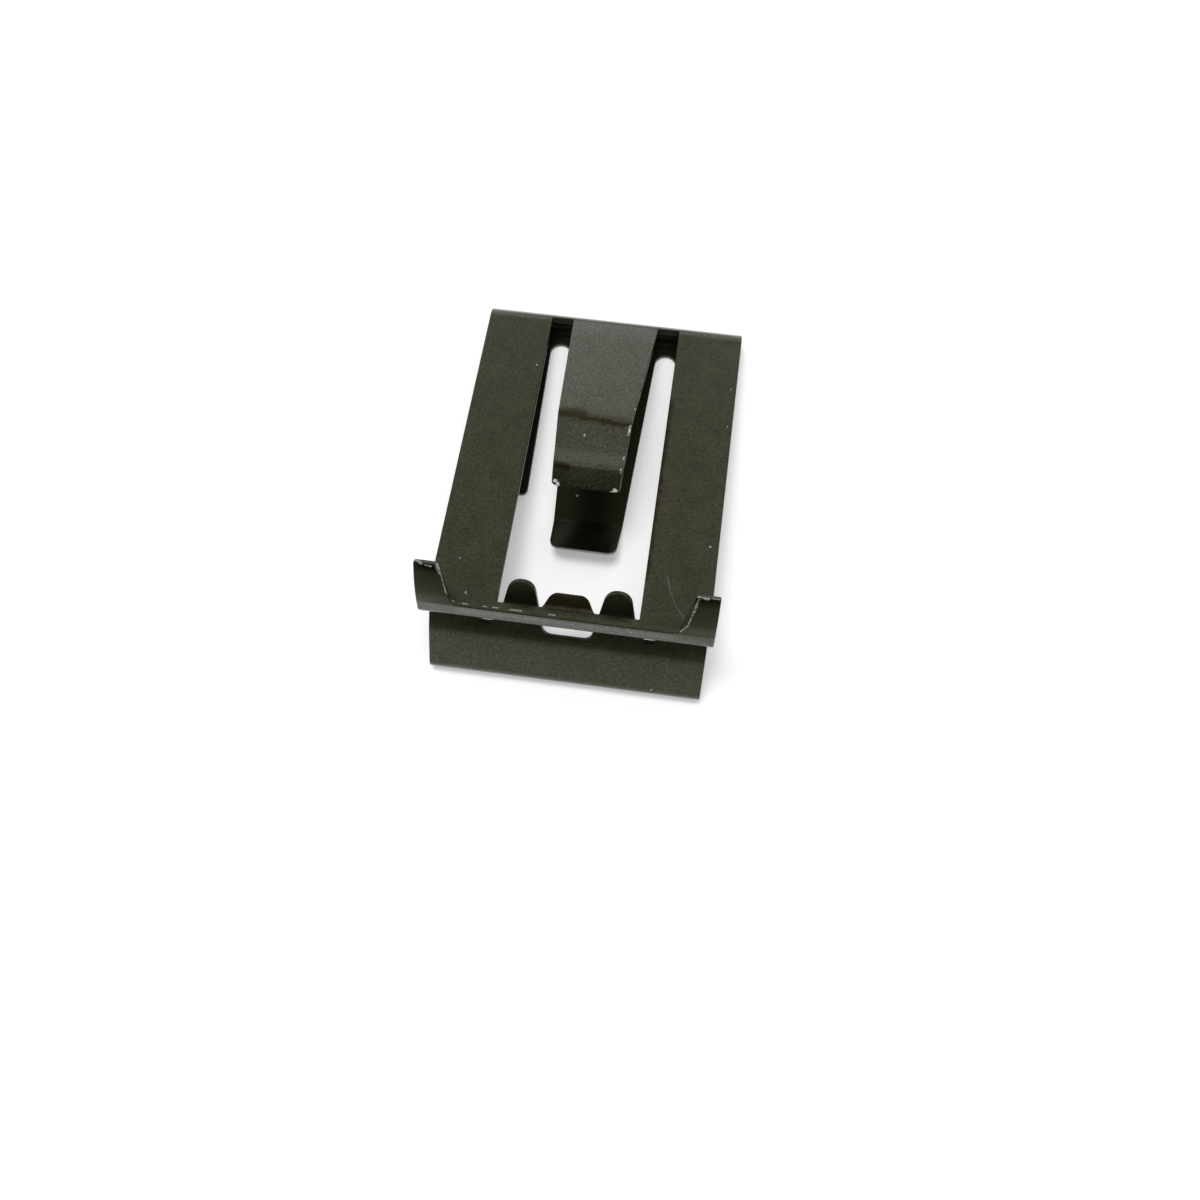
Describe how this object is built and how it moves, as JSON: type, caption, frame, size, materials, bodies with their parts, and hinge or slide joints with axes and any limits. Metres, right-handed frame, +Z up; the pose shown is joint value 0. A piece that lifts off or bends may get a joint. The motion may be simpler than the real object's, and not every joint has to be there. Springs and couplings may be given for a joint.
{
  "type": "spring clip",
  "caption": "Push-in spring clip folded from black spring-steel sheet, with a snap tongue, a back tongue, a turned-up flange with ears and a notched end wall.",
  "frame": {"origin": "middle of the clip's box, on the surface that its back layer lies on", "axes": "+X across the clip, +Y from the flange and ears to the folded nose, +Z up, away from the back layer"},
  "size_m": [0.0208, 0.0294, 0.0108],
  "materials": {
    "black_spring_steel": "satin black phosphate on spring steel, with fine grain and light wear along the cut edges"
  },
  "bodies": {
    "root": {"spring_clip": "black_spring_steel"}
  },
  "joints": []
}
